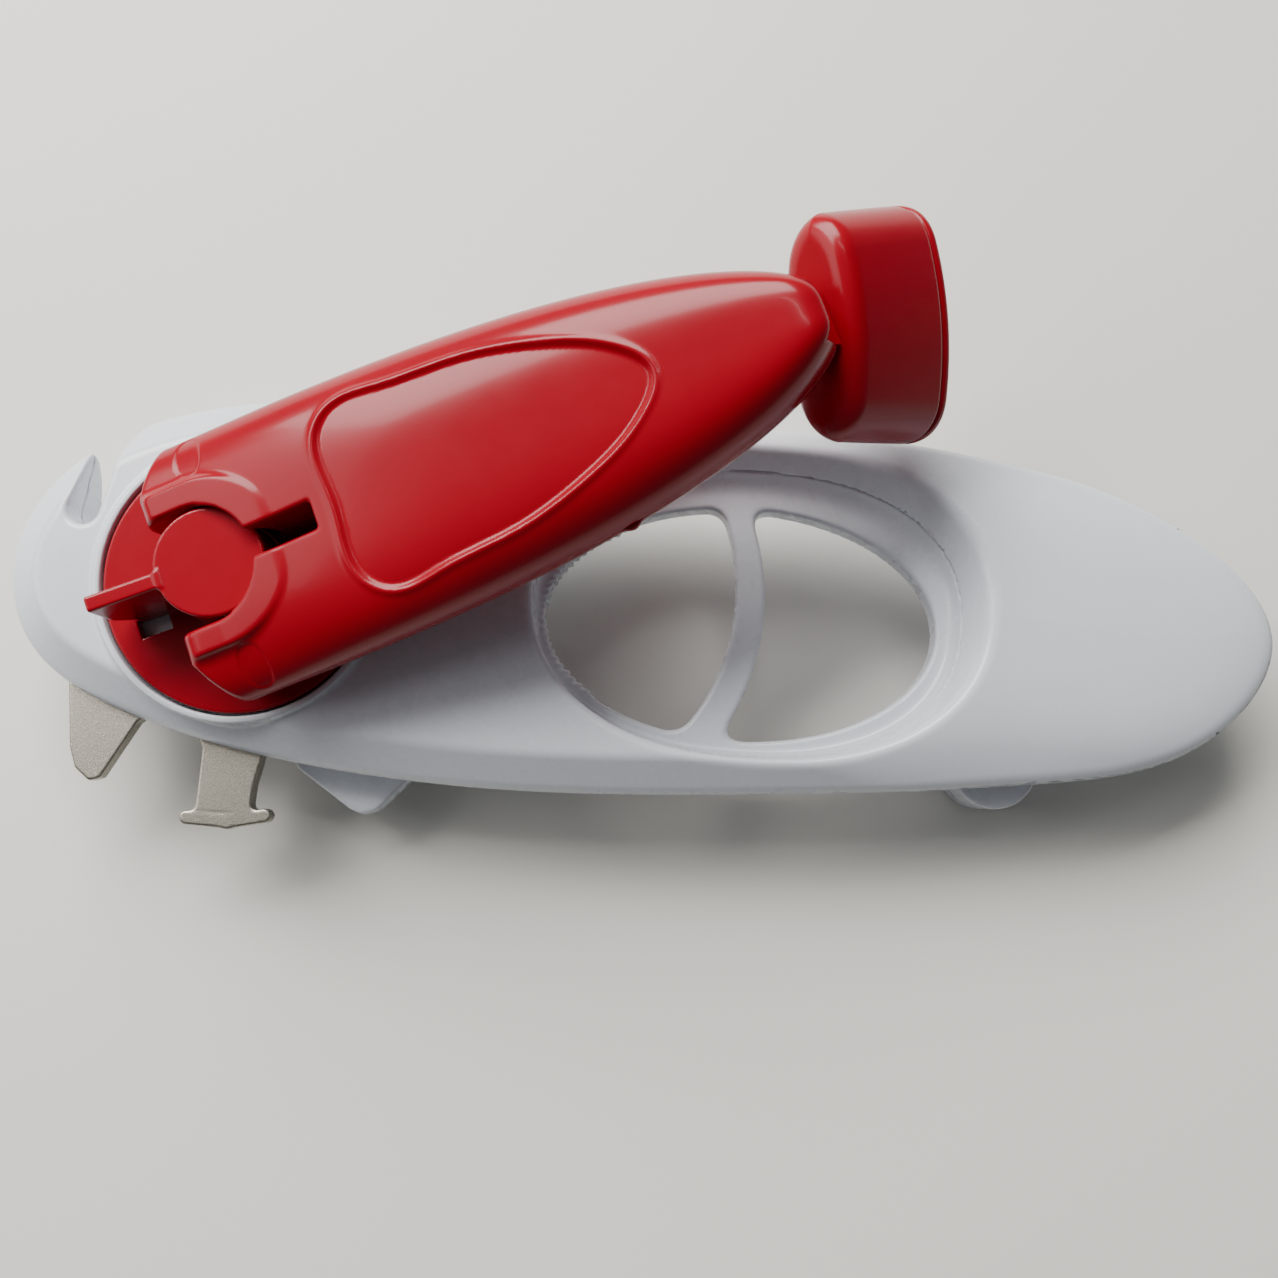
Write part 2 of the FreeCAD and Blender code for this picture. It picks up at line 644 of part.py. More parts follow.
def cutter_washer():
    cx, cy = CUTTER_AT
    return cyl(4.2, -20.4, -20.1, cx, cy).cut(cyl(2.0, -21, -20, cx, cy))


def cutting_wheel():
    cx, cy = CUTTER_AT
    bore = 2.0 + FIT
    profile = [(bore, -20.5), (6.4, -20.5), (CUTTER_R, -21.9), (5.6, -23.0), (4.4, -24.1), (bore, -24.1)]
    points = [Vector(x, 0, z) for x, z in profile]
    wheel = Part.Face(Part.makePolygon(points + points[:1])).revolve(Vector(0, 0, 0), UP, 360)
    wheel.translate(Vector(cx, cy, 0))
    return wheel


# Placing and saving

ARM_TURN = Rotation(UP, CRANK_ANGLE) * Rotation(Vector(0, 1, 0), -ARM_TILT)
ARM_AT = Placement(Vector(0, 0, HINGE_Z), ARM_TURN)
HUB_AT = Placement(Vector(0, 0, 0), Rotation(UP, CRANK_ANGLE))
STEM_AT = Placement(Vector(FOLD_U, 0, FOLD_W), Rotation(Vector(0, 1, 0), 90 + KNOB_FOLD))
SPIN_AT = Placement(Vector(0, 0, 0), Rotation(UP, 90 + KNOB_SPIN))


def save(name, shapes, *places):
    """Writes one piece, or a group of identical ones, after moving it through places in turn."""
    solids = shapes if isinstance(shapes, list) else [shapes]
    placed = []
    for solid in solids:
        moved = solid.copy()
        for place in places:
            moved.Placement = place.multiply(moved.Placement)
        moved.translate(SPINDLE_AT)
        placed.extend(moved.Solids)
    shape = placed[0] if len(placed) == 1 else Part.makeCompound(placed)
    shape.exportStep("parts/" + name + ".step")
    box = shape.BoundBox
    print(name, len(placed), shape.isValid(), "%.1f %.1f %.1f  %.1f %.1f %.1f" % (
        box.XMin, box.YMin, box.ZMin, box.XMax, box.YMax, box.ZMax))


os.makedirs("parts", exist_ok=True)
save("top_shell", top_shell())
save("bottom_shell", bottom_shell())
save("body_screws", body_screws())
save("spindle_bush", spindle_bush())
save("mechanism_plate", mechanism_plate())
save("plate_rivets", plate_rivets())
save("crown_cap_plate", crown_plate_outline(0))
save("carrier_pivot", carrier_pivot())

save("crank_hub", crank_hub(), HUB_AT)
save("drive_spindle", drive_spindle(), HUB_AT)
save("thrust_washer", thrust_washer(), HUB_AT)
save("friction_roller", friction_roller(), HUB_AT)
save("feed_wheel", feed_wheel(), HUB_AT)
save("spindle_nut", spindle_nut(), HUB_AT)

save("arm_shell", arm_piece(1), ARM_AT)
save("arm_cover", arm_piece(-1), ARM_AT)
save("arm_screws", arm_screws(), ARM_AT)
save("arm_hinge_pin", arm_hinge_pin(), ARM_AT)
save("knob_hinge_pin", knob_hinge_pin(), ARM_AT)

save("knob_swivel", knob_swivel(), STEM_AT, ARM_AT)
save("knob_axle", knob_axle(), STEM_AT, ARM_AT)
save("knob_shell", knob_shell(), SPIN_AT, STEM_AT, ARM_AT)
save("knob_cap", knob_cap(), SPIN_AT, STEM_AT, ARM_AT)
save("knob_retainer", knob_retainer(), SPIN_AT, STEM_AT, ARM_AT)

save("cutter_carrier", cutter_carrier())
save("cutter_screw", cutter_screw())
save("cutter_washer", cutter_washer())
save("cutting_wheel", cutting_wheel())
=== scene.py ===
import json
import math

import bpy
import numpy as np
from mathutils import Matrix, Vector


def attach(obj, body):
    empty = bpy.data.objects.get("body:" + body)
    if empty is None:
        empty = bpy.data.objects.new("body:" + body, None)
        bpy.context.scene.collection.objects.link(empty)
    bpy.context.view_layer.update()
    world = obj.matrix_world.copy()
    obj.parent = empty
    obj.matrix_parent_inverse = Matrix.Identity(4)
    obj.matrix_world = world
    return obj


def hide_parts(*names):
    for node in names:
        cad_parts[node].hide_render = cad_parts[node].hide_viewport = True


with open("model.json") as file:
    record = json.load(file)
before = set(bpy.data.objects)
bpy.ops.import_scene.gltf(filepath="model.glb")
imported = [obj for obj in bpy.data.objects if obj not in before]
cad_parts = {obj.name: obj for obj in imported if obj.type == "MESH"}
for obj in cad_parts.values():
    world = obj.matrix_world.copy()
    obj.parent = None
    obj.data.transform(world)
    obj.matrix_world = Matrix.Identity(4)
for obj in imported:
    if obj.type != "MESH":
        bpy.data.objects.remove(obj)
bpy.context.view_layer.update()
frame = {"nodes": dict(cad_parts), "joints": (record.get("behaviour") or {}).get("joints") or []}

# Manual can opener. The moulded pieces that show, and the crown-cap plate, are drawn in millimetres
# as signed distances (negative inside), sampled on a grid and skinned. The rest are the CAD nodes.
MM = 0.001
STEP = 0.55
COARSE = 1.2 * STEP
FINE = 0.7 * STEP
FINEST = 0.6 * STEP

JOINTS = {joint["name"]: joint for joint in frame["joints"]}

# Body
PARTING_Z = -7.5
PARTING_GAP = 0.04
BODY_BOTTOM = -16.0
STAND_Z = -27.0
WALL = 2.2
OUTLINE = [
    (-43.4, 1.5), (-38.4, 15.8), (-21.7, 28.6), (2.0, 34.5), (45.0, 35.3), (92.0, 34.6),
    (135.4, 31.6), (168.5, 21.0), (186.1, 0.4), (174.2, -18.4), (145.8, -27.7), (101.0, -31.9),
    (51.4, -34.3), (11.8, -31.8), (-19.5, -24.7), (-39.0, -12.6),
]
HANDLE_X = 118.0
HANDLE_TOP_R = 385.0
HANDLE_UNDER_R = 560.0
HANDLE_BLEND = (92, 142)
# Faces round the body: a normal as (inward, up), and a point as (inset from the outline, height)
BEVEL = ((-0.618, 0.786), (1.0, -5.5))
CROWN = ((-0.065, 0.998), (6.6, -1.0))
LOW_BEVEL = ((-0.673, -0.740), (1.0, -11.0))
SEAM_STEP = 0.6
SEAM_DEPTH = (-0.5, -0.8)
HUB_POCKET_R = 24.2
HUB_POCKET_Z = -3.2
HUB_RIM_R = 24.9
HUB_RIM_HALF = 0.65
HUB_RIM_Z = (-3.0, 0.45)
BUSH_R = 4.5
RIM_CENTRE = (92.4, 3.2)
RIM_SEMI = (40.6, 29.4)
FLOOR_CENTRE = (89.6, -0.6)
FLOOR_SEMI = (37.9, 24.8)
RIM_POWER = 2.3
FLOOR_Z = -10.0
GRIP_CENTRE = (89.0, -1.4)
GRIP_SEMI = (36.0, 21.5)
DIVIDER_NEAR = (48.4, 3.5, 40.0)
DIVIDER_FAR = (48.6, 2.0, 45.0)
TOOTH_PITCH = 1.8
TOOTH_HEIGHT = 0.85
TOOTH_START = (126, 129)
TOOTH_END = (222, 225)
NOTCH_END = (-29.2, 11.2)
NOTCH_R = 2.9
NOTCH_SIDES = [
    (-32.1, 11.2), (-30.8, 22.0), (-30.0, 36.0), (-19.0, 36.0), (-21.5, 29.2), (-24.4, 22.6),
    (-24.9, 17.5), (-26.3, 11.2),
]
WEDGE = [
    (6.0, -26.0), (10.4, -31.6), (20.4, -38.2), (22.1, -38.8), (24.0, -38.2), (29.0, -32.8), (34.0, -26.0),
]
WEDGE_ROUND = 1.3
WEDGE_MID_Z = -17.6
WEDGE_HALF = 2.4
GUARD_X = 8.0
GUARD_R = 23.0
GUARD_HALF = 1.4
GUARD_START_X = 8.4
FOOT_X = 137.4
FOOT_Y = (-24.4, 19.6)
FOOT_R = 7.9
FOOT_WALL = 2.4
BODY_SCREWS = [(-31.5, -2.0), (37.0, 20.0), (37.0, -20.0), (143.0, 14.0), (143.0, -13.0)]
SCREW_BOSS_R = 4.2
SCREW_HEAD_R = 3.1
SCREW_HEAD_Z = -12.5
SCREW_HOLE_R = 1.65

# Crown-cap plate: a fang, and a stem that ends in a bent bar
PLATE_Z = (-11.5, -8.5)
PLATE_ROUND = 0.35
PLATE_BASE = [
    (-32.6, -8.4), (7.6, -17.4), (7.6, -23.5), (4.9, -28.5), (3.4, -36.0), (3.2, -40.6), (-6.1, -40.6),
    (-5.9, -30.0), (-8.2, -24.8), (-15.8, -23.4), (-18.7, -25.9), (-24.2, -36.0), (-25.9, -36.5),
    (-28.4, -34.5), (-29.7, -31.0), (-31.1, -20.0),
]
HOOK_BAR = [(-7.9, -42.3), (-0.5, -42.6), (6.0, -41.2)]
HOOK_BAR_R = 1.25

# Crank hub
DISC_R = 23.8
DISC_THICK = 2.4
POST_R = 9.2
POST_TOP = 15.7
FIN_REACH = 21.2
FIN_HALF = 1.35
FIN_FOOT = 5.6
FIN_FOOT_REACH = 18.4
WINDOW_CENTRE = (-16.2, -2.98, -1.0)
WINDOW_HALF = (2.8, 1.6, 2.5)

# Crank arm
ARM_TILT = math.radians(11.0)
ARM_HALF_WIDTH = 22.8
ARM_PLAN_LENGTH = 110.0
FOLD_U = 101.5
FOLD_W = 1.2
TIP_START = FOLD_U
TIP_END = 108.9
STEM_R = 3.85
STEM_ROOM_HALF = 4.75
POST_ROOM_R = 9.6
FIN_ROOM = (22.5, 2.3, 6.7)
COLLAR_R = 12.2
COLLAR_HALF = 1.75
COLLAR_TOP = 6.35
ARM_SCREWS_U = (38.0, 82.0)
ARM_SCREW_R = 3.1
NIB_AT = (68.0, -18.6, -0.8)
NIB_R = 1.4
PANEL = [(26.2, 12.6), (28.8, 15.2), (38.0, 15.4), (52.0, 14.2), (66.0, 10.6), (76.0, 5.4), (79.8, 0.0)]
PANEL_DEPTH = 0.6
PANEL_BEAD = 0.2
PIN_MARK_DEPTH = 0.16

# Knob
KNOB_SPIN = math.radians(21.0)
KNOB_NEAR = 7.5
KNOB_LENGTH = 21.6
KNOB_CAP_THICK = 1.9
KNOB_HALF_LONG = 18.2
KNOB_HALF_THICK = 7.1
KNOB_FLARE = (1.75, 1.9)


# Places: an origin and three axes, so that pieces are drawn straight and then turned

class Place:
    def __init__(self, origin, x_axis, y_axis, z_axis):
        self.origin = np.array(origin, float)
        self.axes = np.array([x_axis, y_axis, z_axis], float)

    def to_row(self, points):
        return (points @ self.axes) * MM + self.origin


def make_places():
    spindle = Vector(JOINTS["crank_spin"]["pos_m"])
    up = Vector((0, 0, 1))
    across = -Vector(JOINTS["arm_flip"]["axis"])
    along = across.cross(up)
    tilted = along * math.cos(ARM_TILT) + up * math.sin(ARM_TILT)
    arm_up = tilted.cross(across)
    fold = Vector(JOINTS["knob_fold"]["pos_m"])
    knob_axis = Vector(JOINTS["knob_spin"]["axis"])
    outward = across.cross(knob_axis)
    long_axis = across * math.cos(KNOB_SPIN) - outward * math.sin(KNOB_SPIN)
    if long_axis.z < (across * math.cos(KNOB_SPIN) + outward * math.sin(KNOB_SPIN)).z:
        long_axis = across * math.cos(KNOB_SPIN) + outward * math.sin(KNOB_SPIN)
    return {
        "body": Place(spindle, (1, 0, 0), (0, 1, 0), (0, 0, 1)),
        "hub": Place(spindle, along, across, up),
        "arm": Place(JOINTS["arm_flip"]["pos_m"], tilted, across, arm_up),
        "knob": Place(fold, long_axis, knob_axis.cross(long_axis), knob_axis),
    }


PLACES = make_places()


# Signed-distance tools

def smax(a, b, k):
    h = np.clip(0.5 + 0.5 * (a - b) / k, 0, 1)
    return b + (a - b) * h + k * h * (1 - h)


def smin(a, b, k):
    return -smax(-a, -b, k)


def ramp(low, high, t):
    s = np.clip((t - low) / (high - low), 0, 1)
    return s * s * (3 - 2 * s)


def spline_loop(points, per_span=14):
    """Smooth closed curve through points: a periodic cubic spline on chord length."""
    p = np.array(points, float)
    n = len(p)
    h = np.hypot(*(np.roll(p, -1, 0) - p).T)
    rows = np.zeros((n, n))
    right = np.zeros((n, 2))
    for i in range(n):
        before = (i - 1) % n
        after = (i + 1) % n
        rows[i, before] += h[before]
        rows[i, i] += 2 * (h[before] + h[i])
        rows[i, after] += h[i]
        right[i] = 6 * ((p[after] - p[i]) / h[i] - (p[i] - p[before]) / h[before])
    m = np.linalg.solve(rows, right)
    out = []
    for i in range(n):
        after = (i + 1) % n
        for t in np.linspace(0, 1, per_span, endpoint=False):
            a = 1 - t
            bend = ((a ** 3 - a) * m[i] + (t ** 3 - t) * m[after]) * h[i] ** 2 / 6
            out.append(a * p[i] + t * p[after] + bend)
    return np.array(out)


class Flat:
    """Signed distance to a closed flat outline, from a table."""
    cell = 0.5

    def __init__(self, loop, low, high):
        self.low = np.array(low, float)
        nx = int((high[0] - low[0]) / self.cell) + 2
        ny = int((high[1] - low[1]) / self.cell) + 2
        x = (low[0] + self.cell * np.arange(nx))[:, None]
        y = (low[1] + self.cell * np.arange(ny))[None, :]
        nearest = np.full((nx, ny), 1e9)
        inside = np.zeros((nx, ny), bool)
        for a, b in zip(loop, np.roll(loop, -1, 0)):
            d = b - a
            t = np.clip(((x - a[0]) * d[0] + (y - a[1]) * d[1]) / (d @ d), 0, 1)
            gap = (x - a[0] - t * d[0]) ** 2 + (y - a[1] - t * d[1]) ** 2
            nearest = np.minimum(nearest, gap)
            if a[1] != b[1]:
                crosses = (a[1] > y) != (b[1] > y)
                inside ^= crosses & (x < a[0] + (y - a[1]) * d[0] / d[1])
        self.table = np.where(inside, -1, 1) * np.sqrt(nearest)

    def __call__(self, x, y):
        x, y = np.broadcast_arrays(x, y)
        nx, ny = self.table.shape
        fx = np.clip((x - self.low[0]) / self.cell, 0, nx - 1.001)
        fy = np.clip((y - self.low[1]) / self.cell, 0, ny - 1.001)
        i = fx.astype(int)
        j = fy.astype(int)
        s = fx - i
        t = fy - j
        near = self.table[i, j] * (1 - s) + self.table[i + 1, j] * s
        far = self.table[i, j + 1] * (1 - s) + self.table[i + 1, j + 1] * s
        return near * (1 - t) + far * t


def oval(x, y, centre, semi, power):
    """Near-true distance to a superellipse."""
    u = np.abs(x - centre[0]) / semi[0] + 1e-6
    v = np.abs(y - centre[1]) / semi[1] + 1e-6
    r = (u ** power + v ** power) ** (1 / power)
    slope = np.hypot((u / r) ** (power - 1) / semi[0], (v / r) ** (power - 1) / semi[1])
    return (r - 1) / slope


def bar(x, y, start, end, radius):
    """Distance to a straight bar with round ends."""
    along = (end[0] - start[0], end[1] - start[1])
    span = along[0] ** 2 + along[1] ** 2
    t = np.clip(((x - start[0]) * along[0] + (y - start[1]) * along[1]) / span, 0, 1)
    return np.hypot(x - start[0] - t * along[0], y - start[1] - t * along[1]) - radius


def surface_nets(field, low, step):
    """Quads on the zero level of a sampled field, one point to a mixed cell."""
    inside = field < 0
    cells = tuple(n - 1 for n in field.shape)
    corners = [(i, j, k) for i in (0, 1) for j in (0, 1) for k in (0, 1)]

    def at(grid, c):
        return grid[c[0]:cells[0] + c[0], c[1]:cells[1] + c[1], c[2]:cells[2] + c[2]]

    count = sum(at(inside, c).astype(np.int8) for c in corners)
    mixed = (count > 0) & (count < 8)
    index = np.full(cells, -1)
    index[mixed] = np.arange(mixed.sum())
    total = np.zeros((mixed.sum(), 3))
    hits = np.zeros(mixed.sum())
    for a in corners:
        for axis in range(3):
            if a[axis]:
                continue
            b = list(a)
            b[axis] = 1
            va = at(field, a)[mixed]
            vb = at(field, b)[mixed]
            cut = (va < 0) != (vb < 0)
            t = np.where(cut, va / np.where(cut, va - vb, 1), 0)
            spot = np.array(a, float)[None, :] + t[:, None] * (np.array(b) - np.array(a))[None, :]
            total += spot * cut[:, None]
            hits += cut
    points = (np.argwhere(mixed) + total / hits[:, None]) * step + low
    quads = []
    for axis in range(3):
        u = (axis + 1) % 3
        v = (axis + 2) % 3
        lower = [slice(1, -1)] * 3
        lower[axis] = slice(0, -1)
        upper = list(lower)
        upper[axis] = slice(1, None)
        here = inside[tuple(lower)]
        there = inside[tuple(upper)]
        for flip in (False, True):
            spots = np.argwhere((here != there) & (here if not flip else there))
            spots[:, u] += 1
            spots[:, v] += 1
            ring = []
            for du, dv in ((-1, -1), (0, -1), (0, 0), (-1, 0)):
                cell = spots.copy()
                cell[:, u] += du
                cell[:, v] += dv
                ring.append(index[cell[:, 0], cell[:, 1], cell[:, 2]])
            quad = np.stack(ring, 1)
            quads.append(quad[:, ::-1] if flip else quad)
    return points, np.concatenate(quads)


def slope_of(field, p, reach):
    out = np.zeros_like(p)
    for axis in range(3):
        ahead = p.copy()
        back = p.copy()
        ahead[:, axis] += reach
        back[:, axis] -= reach
        out[:, axis] = (field(*ahead.T) - field(*back.T)) / (2 * reach)
    return out


def skin(name, node, body, place, field, low, high, material, step=STEP):
    """Skinned piece: the zero level of field inside the box from low to high, standing for node."""
    low = np.array(low, float)
    count = [int((high[i] - low[i]) / step) + 2 for i in range(3)]
    x = (low[0] + step * np.arange(count[0]))[:, None, None]
    y = (low[1] + step * np.arange(count[1]))[None, :, None]
    z = (low[2] + step * np.arange(count[2]))[None, None, :]
    values = np.broadcast_to(field(x, y, z), count).astype(np.float32)
    points, quads = surface_nets(values, low, step)
    for _ in range(2):
        slope = slope_of(field, points, 0.2 * step)
        size = np.maximum((slope ** 2).sum(1), 0.2)
        move = -field(*points.T)[:, None] * slope / size[:, None]
        points = points + np.clip(move, -0.3 * step, 0.3 * step)
    mesh = bpy.data.meshes.new(name)
    mesh.from_pydata(PLACES[place].to_row(points).tolist(), [], quads.tolist())
    mesh.validate()
    mesh.polygons.foreach_set("use_smooth", [True] * len(mesh.polygons))
    normals = slope_of(field, points, 0.35 * step)
    normals = normals @ PLACES[place].axes
    normals /= np.maximum(np.linalg.norm(normals, axis=1), 1e-9)[:, None]
    mesh.normals_split_custom_set_from_vertices(normals.tolist())
    obj = bpy.data.objects.new(name, mesh)
    bpy.context.scene.collection.objects.link(obj)
    mesh.materials.append(material[1])
    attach(obj, body)
    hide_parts(node)
    return obj


# Body

OUTLINE_FLAT = Flat(spline_loop(OUTLINE), (-47, -38), (190, 39))
NOTCH_FLAT = Flat(np.array(NOTCH_SIDES), (-48, 0), (-8, 42))
WEDGE_FLAT = Flat(np.array(WEDGE), (0, -44), (40, -18))


def sloping_face(d, z, face):
    normal, point = face
    return normal[0] * (d - point[0]) + normal[1] * (z - point[1])


def body_form(x, y, z):
    """The closed body: side, bevels, crown and underside, rounded into one another."""
    d = -OUTLINE_FLAT(x, y)
    past = np.clip(x - HANDLE_X, 0, None)
    zt = z + past ** 2 / (2 * HANDLE_TOP_R)
    zb = z - past ** 2 / (2 * HANDLE_UNDER_R)
    soft = ramp(*HANDLE_BLEND, x)
    f = smax(-d, sloping_face(d, z, BEVEL), 1.7)
    f = smax(f, sloping_face(d, z, CROWN), 0.6 + 9.4 * soft)
    f = smax(f, zt, 1.2 + 2.0 * soft)
    f = smax(f, sloping_face(d, z, LOW_BEVEL), 3.0)
    return smax(f, BODY_BOTTOM - zb, 2.0)


def funnel(x, y, z):
    t = np.clip((z - FLOOR_Z) / -FLOOR_Z, -0.2, 1.3)
    centre = [FLOOR_CENTRE[i] + t * (RIM_CENTRE[i] - FLOOR_CENTRE[i]) for i in (0, 1)]
    semi = [FLOOR_SEMI[i] + t * (RIM_SEMI[i] - FLOOR_SEMI[i]) for i in (0, 1)]
    wall = 0.92 * oval(x, y, centre, semi, RIM_POWER)
    return smax(wall, FLOOR_Z - z, 1.6)


def grips(x, y):
    """The two openings in the funnel's floor, with teeth round the near one's end."""
    ring = oval(x, y, GRIP_CENTRE, GRIP_SEMI, 2.0)
    a = np.arctan2((y - GRIP_CENTRE[1]) / GRIP_SEMI[1], (x - GRIP_CENTRE[0]) / GRIP_SEMI[0])
    a = np.degrees(np.where(a < 0, a + 2 * math.pi, a))
    turns = np.radians(a) * 0.5 * (GRIP_SEMI[0] + GRIP_SEMI[1]) / TOOTH_PITCH
    tooth = 1 - np.abs((turns % 1) * 2 - 1)
    toothed = ring + TOOTH_HEIGHT * tooth * ramp(*TOOTH_START, a) * (1 - ramp(*TOOTH_END, a))
    near_x, near_y, near_r = DIVIDER_NEAR
    far_x, far_y, far_r = DIVIDER_FAR
    near = smax(toothed, np.hypot(x - near_x, y - near_y) - near_r, 3.0)
    far = smax(ring, far_r - np.hypot(x - far_x, y - far_y), 4.5)
    return near, far


def notch(x, y):
    end = np.hypot(x - NOTCH_END[0], y - NOTCH_END[1]) - NOTCH_R
    return smin(NOTCH_FLAT(x, y), end, 0.4)


def body_open(x, y, z):
    f = body_form(x, y, z)
    r = np.hypot(x, y)
    rim_low, rim_high = HUB_RIM_Z
    rim = smax(np.abs(r - HUB_RIM_R) - HUB_RIM_HALF, np.maximum(z - rim_high, rim_low - z), 0.5)
    f = smin(f, rim, 0.9)
    f = smax(f, -np.maximum(r - HUB_POCKET_R, HUB_POCKET_Z - z), 0.25)
    f = smax(f, -funnel(x, y, z), 1.9)
    near, far = grips(x, y)
    f = smax(f, -near, 1.0)
    f = smax(f, -far, 1.0)
    return smax(f, -notch(x, y), 1.1)


def shell(x, y, z):
    f = body_open(x, y, z)
    f = np.maximum(f, -(f + WALL))
    return np.maximum(f, BUSH_R - np.hypot(x, y))


def seam(f):
    """Height of the joint between the shells, with a step inside the wall."""
    return PARTING_Z + SEAM_STEP * ramp(*SEAM_DEPTH, f)


def top_shell(x, y, z):
    f = shell(x, y, z)
    return smax(f, seam(f) + PARTING_GAP - z, 0.15)


def bottom_shell(x, y, z):
    f = shell(x, y, z)
    f = smax(f, z - (seam(f) - PARTING_GAP), 0.15)
    wedge = smax(WEDGE_FLAT(x, y) - WEDGE_ROUND, np.abs(z - WEDGE_MID_Z) - WEDGE_HALF, 1.0)
    f = smin(f, wedge, 1.4)
    r = np.hypot(x - GUARD_X, y)
    guard = smax(np.abs(r - GUARD_R) - GUARD_HALF, GUARD_START_X - x, 1.0)
    guard = smax(guard, np.maximum(STAND_Z - z, z + 15.0), 0.8)
    f = smin(f, guard, 1.2)
    reach = np.clip(y, *FOOT_Y)
    foot = np.hypot(x - FOOT_X, y - reach) - FOOT_R
    ring = smax(foot, -np.maximum(foot + FOOT_WALL, z + 15.5), 0.5)
    ring = smax(ring, np.maximum(STAND_Z - z, z + 14.0), 0.8)
    f = smin(f, ring, 1.2)
    for sx, sy in BODY_SCREWS:
        r = np.hypot(x - sx, y - sy)
        boss = np.maximum(r - SCREW_BOSS_R, np.maximum(-15.0 - z, z - PARTING_Z + 0.1))
        f = np.minimum(f, boss)
        f = smax(f, -np.maximum(r - SCREW_HEAD_R, z - SCREW_HEAD_Z), 0.3)
        f = np.maximum(f, SCREW_HOLE_R - r)
    return f


# Crown-cap plate

PLATE_FLAT = Flat(np.array(PLATE_BASE), (-38, -48), (14, -4))


def crown_cap_plate(x, y, z):
    first, middle, last = HOOK_BAR
    hook = smin(bar(x, y, first, middle, HOOK_BAR_R), bar(x, y, middle, last, HOOK_BAR_R), 0.6)
    flat = smin(PLATE_FLAT(x, y) - PLATE_ROUND, hook, 1.6)
    low, high = PLATE_Z
    return smax(flat, np.abs(z - (low + high) / 2) - (high - low) / 2, 0.45)


# Crank hub

def crank_hub(x, y, z):
    r = np.hypot(x, y)
    disc = smax(r - DISC_R, np.abs(z + DISC_THICK / 2) - DISC_THICK / 2, 0.5)
    post = smax(r - POST_R, z - POST_TOP, 0.5)
    post = np.maximum(post, -DISC_THICK - z)
    chamfer = (-x - FIN_FOOT_REACH - (FIN_REACH - FIN_FOOT_REACH) * z / FIN_FOOT) * 0.89
    fin = smax(np.abs(y) - FIN_HALF, z - POST_TOP, 0.5)
    fin = smax(fin, -x - FIN_REACH, 0.5)
    fin = smax(smax(fin, chamfer, 0.4), np.maximum(x + POST_R - 0.8, -1.0 - z), 0.1)
    f = smin(smin(disc, post, 0.7), fin, 0.7)
    sides = [np.abs(p - WINDOW_CENTRE[i]) - WINDOW_HALF[i] for i, p in enumerate((x, y, z))]
    window = np.maximum(np.maximum(sides[0], sides[1]), sides[2])
    return smax(f, -window, 0.25)


# Crank arm

def arm_sizes(u):
    along = np.clip(u, 0, ARM_PLAN_LENGTH - 0.5)
    half = ARM_HALF_WIDTH * np.sqrt(1 - (along / ARM_PLAN_LENGTH) ** 2.6)
    top = 9.0 - 2.6 * (along / 66.0 - 1) ** 2
    under = 8.4 - 1.3 * (1 - np.cos(math.pi * np.clip((along - 50) / 43, 0, 1)))
    tip = np.clip((u - TIP_START) / (TIP_END - TIP_START), 0, 0.999)
    end = (1 - tip ** 3) ** (1 / 3)
    return half, top * end, under * end


def arm_form(u, v, w, upper):
    level = 1 if upper else 2
    sizes = arm_sizes(u)
    half = sizes[0]
    rise = sizes[level]
    p = 2.5 + 1.2 * ramp(-2, 24, u) if upper else 8.0
    q = 2.0 if upper else 2.3
    a = np.abs(v) / half + 1e-6
    b = np.abs(w) / rise + 1e-6
    g = a ** p + b ** q - 1
    ahead = arm_sizes(u + 0.2)
    narrowing = (half - ahead[0]) / 0.2
    falling = (rise - ahead[level]) / 0.2
    across = p * a ** (p - 1) / half
    upward = q * b ** (q - 1) / rise
    forward = across * a * narrowing + upward * b * falling
    slope = np.sqrt(across ** 2 + upward ** 2 + forward ** 2) + 0.02
    f = np.clip(g / slope, -5, 12)
    f = np.maximum(f, u - TIP_END)
    if upper:
        r = np.hypot(u, v)
        wall = np.where(u < 0, np.abs(np.abs(v) - COLLAR_R), np.abs(r - COLLAR_R)) - COLLAR_HALF
        collar = smax(wall, w - COLLAR_TOP, 0.7)
        collar = smax(collar, u - 13.0, 2.0)
        f = smin(f, collar, 2.2)
    end = np.maximum(np.hypot(u, w) - 9.0, np.hypot(u - 27.9, v) - 38.6)
    return smax(f, np.where(u > 12, -12.0, end - np.clip(u, 0, None)), 1.0)


PANEL_LOOP = PANEL + [(x, -y) for x, y in reversed(PANEL[:-1])] + [(25.6, 0.0)]
PANEL_FLAT = Flat(spline_loop(PANEL_LOOP), (10, -30), (95, 30))


def arm_room(u, v, w):
    """What the arm leaves open for the post, the fin and the knob's stem."""
    sweep = np.sqrt(np.clip(POST_R ** 2 - v ** 2, 0, None) + 38.5) + 0.45
    knuckle = smax(np.hypot(u, w) - sweep, np.abs(v) - POST_ROOM_R, 1.2)
    behind = smax(u, np.abs(v) - POST_ROOM_R, 0.6)
    room = np.minimum(knuckle, behind)
    post = np.hypot(u - w * math.tan(ARM_TILT), v) - POST_ROOM_R
    room = np.minimum(room, np.maximum(post, w))
    length, half, depth = FIN_ROOM
    fin = smax(np.abs(v) - half, np.hypot(u, w) - length, 0.8)
    fin = np.maximum(fin, np.maximum(-depth - w, -u))
    room = smin(room, fin, 0.5)
    stem = np.hypot(np.clip(u - FOLD_U, None, 0), np.clip(w - FOLD_W, 0, None)) - STEM_R
    stem = np.maximum(stem, np.abs(v) - STEM_ROOM_HALF)
    return np.minimum(room, stem)


